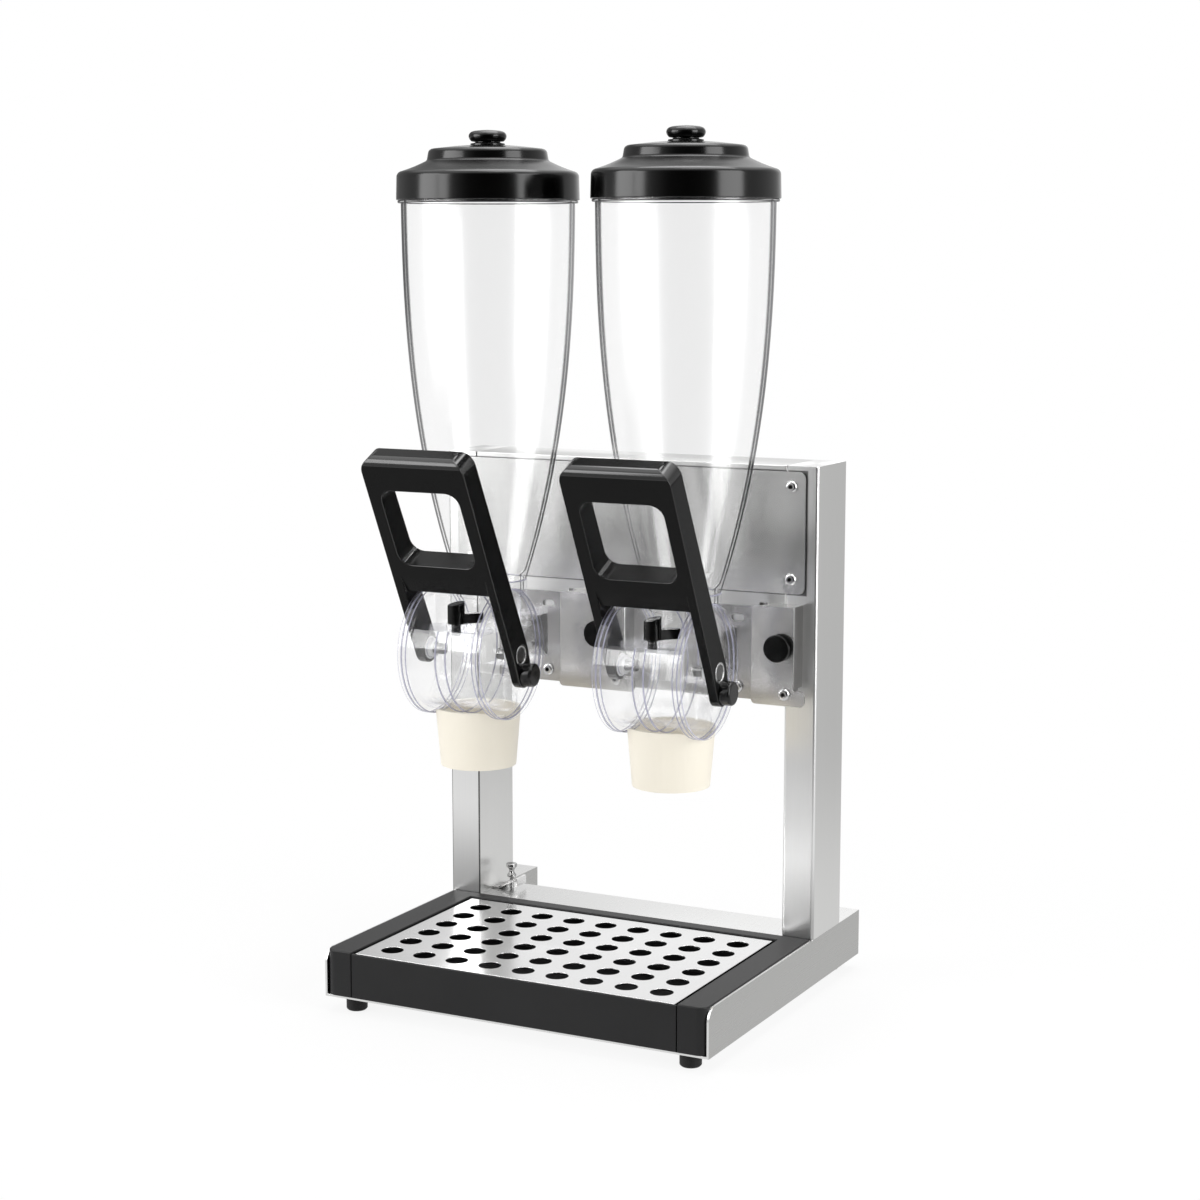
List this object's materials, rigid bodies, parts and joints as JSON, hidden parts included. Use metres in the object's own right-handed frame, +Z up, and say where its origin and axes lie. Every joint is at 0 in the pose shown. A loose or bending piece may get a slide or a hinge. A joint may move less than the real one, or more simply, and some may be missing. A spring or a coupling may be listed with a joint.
{
  "type": "dry food dispenser",
  "caption": "Counter-top dry food dispenser: clear bell hoppers with black lids, lever-worked metering housings and spouts on a stainless stand over a drip tray.",
  "frame": {"origin": "on the table, under the middle of the base", "axes": "+Z up, +X to the user's right, -Y towards the user"},
  "size_m": [0.37, 0.335, 0.7639],
  "materials": {
    "stainless": "vertical brushed grain",
    "bright_steel": "polished",
    "spring_steel": "drawn wire",
    "gloss_black": "satin gloss",
    "matt_black": "fine matt grain",
    "clear_plastic": "clear, polished",
    "ivory_plastic": "smooth satin",
    "white_plastic": "smooth",
    "black_rubber": "matt"
  },
  "bodies": {
    "stand": {"base_shell": "stainless", "post_left": "stainless", "post_right": "stainless", "rear_panel": "stainless", "cover_plate": "stainless", "cover_screws": "bright_steel", "tray_surround": "matt_black", "feet": "black_rubber", "foot_screws": "bright_steel", "hold_down_tab": "stainless", "bracket_screws": "bright_steel", "bracket_spacers": "stainless", "housing_screws": "bright_steel", "housing_left": "clear_plastic", "end_caps_left": "clear_plastic", "bushes_left": "white_plastic", "spout_left": "ivory_plastic", "bracket_left": "stainless", "button_spring_left": "spring_steel", "housing_right": "clear_plastic", "end_caps_right": "clear_plastic", "bushes_right": "white_plastic", "spout_right": "ivory_plastic", "bracket_right": "stainless", "button_spring_right": "spring_steel"},
    "drip_tray": {"drip_tray": "matt_black"},
    "drip_grate": {"drip_grate": "bright_steel"},
    "thumbscrew": {"thumbscrew": "bright_steel"},
    "hopper_left": {"hopper_left": "clear_plastic"},
    "lid_left": {"lid_left": "gloss_black", "lid_knob_left": "gloss_black"},
    "lever_left": {"lever_left": "gloss_black", "lever_peg_left": "gloss_black", "pivot_pins_left": "bright_steel", "gate_left": "clear_plastic"},
    "portion_left": {"portion_knob_left": "gloss_black", "portion_cam_left": "white_plastic"},
    "button_left": {"release_button_left": "gloss_black", "button_clip_left": "bright_steel"},
    "hopper_right": {"hopper_right": "clear_plastic"},
    "lid_right": {"lid_right": "gloss_black", "lid_knob_right": "gloss_black"},
    "lever_right": {"lever_right": "gloss_black", "lever_peg_right": "gloss_black", "pivot_pins_right": "bright_steel", "gate_right": "clear_plastic"},
    "portion_right": {"portion_knob_right": "gloss_black", "portion_cam_right": "white_plastic"},
    "button_right": {"release_button_right": "gloss_black", "button_clip_right": "bright_steel"}
  },
  "joints": [
    {"name": "tray_slide", "type": "slide", "parent": "stand", "child": "drip_tray", "axis": [0, -1, 0], "range_m": [0, 0.18]},
    {"name": "grate_lift", "type": "slide", "parent": "drip_tray", "child": "drip_grate", "axis": [0, 0, 1], "range_m": [0, 0.06]},
    {"name": "thumbscrew_turn", "type": "hinge", "parent": "stand", "child": "thumbscrew", "pos_m": [-0.139, 0.087, 0.07], "axis": [0, 0, 1], "continuous": true},
    {"name": "lever_left_pull", "type": "hinge", "parent": "stand", "child": "lever_left", "pos_m": [-0.095, -0.061, 0.311], "axis": [1, 0, 0], "range_deg": [0, 65], "stiffness_Nm_per_rad": 0.5, "springref_deg": -34.38},
    {"name": "portion_left_turn", "type": "hinge", "parent": "stand", "child": "portion_left", "pos_m": [-0.095, -0.087, 0.335], "axis": [0, 0, 1], "range_deg": [-180, 0]},
    {"name": "button_left_press", "type": "slide", "parent": "stand", "child": "button_left", "axis": [0, 1, 0], "range_m": [0, 0.0025], "stiffness_N_per_m": 700, "springref_m": -0.002, "deforming": ["button_spring_left"]},
    {"name": "hopper_left_lift", "type": "slide", "parent": "stand", "child": "hopper_left", "axis": [0, 0, 1], "range_m": [0, 0.06]},
    {"name": "lid_left_lift", "type": "slide", "parent": "hopper_left", "child": "lid_left", "axis": [0, 0, 1], "range_m": [0, 0.06]},
    {"name": "lever_right_pull", "type": "hinge", "parent": "stand", "child": "lever_right", "pos_m": [0.095, -0.061, 0.311], "axis": [1, 0, 0], "range_deg": [0, 65], "stiffness_Nm_per_rad": 0.5, "springref_deg": -34.38},
    {"name": "portion_right_turn", "type": "hinge", "parent": "stand", "child": "portion_right", "pos_m": [0.095, -0.087, 0.335], "axis": [0, 0, 1], "range_deg": [-180, 0]},
    {"name": "button_right_press", "type": "slide", "parent": "stand", "child": "button_right", "axis": [0, 1, 0], "range_m": [0, 0.0025], "stiffness_N_per_m": 700, "springref_m": -0.002, "deforming": ["button_spring_right"]},
    {"name": "hopper_right_lift", "type": "slide", "parent": "stand", "child": "hopper_right", "axis": [0, 0, 1], "range_m": [0, 0.06]},
    {"name": "lid_right_lift", "type": "slide", "parent": "hopper_right", "child": "lid_right", "axis": [0, 0, 1], "range_m": [0, 0.06]}
  ]
}
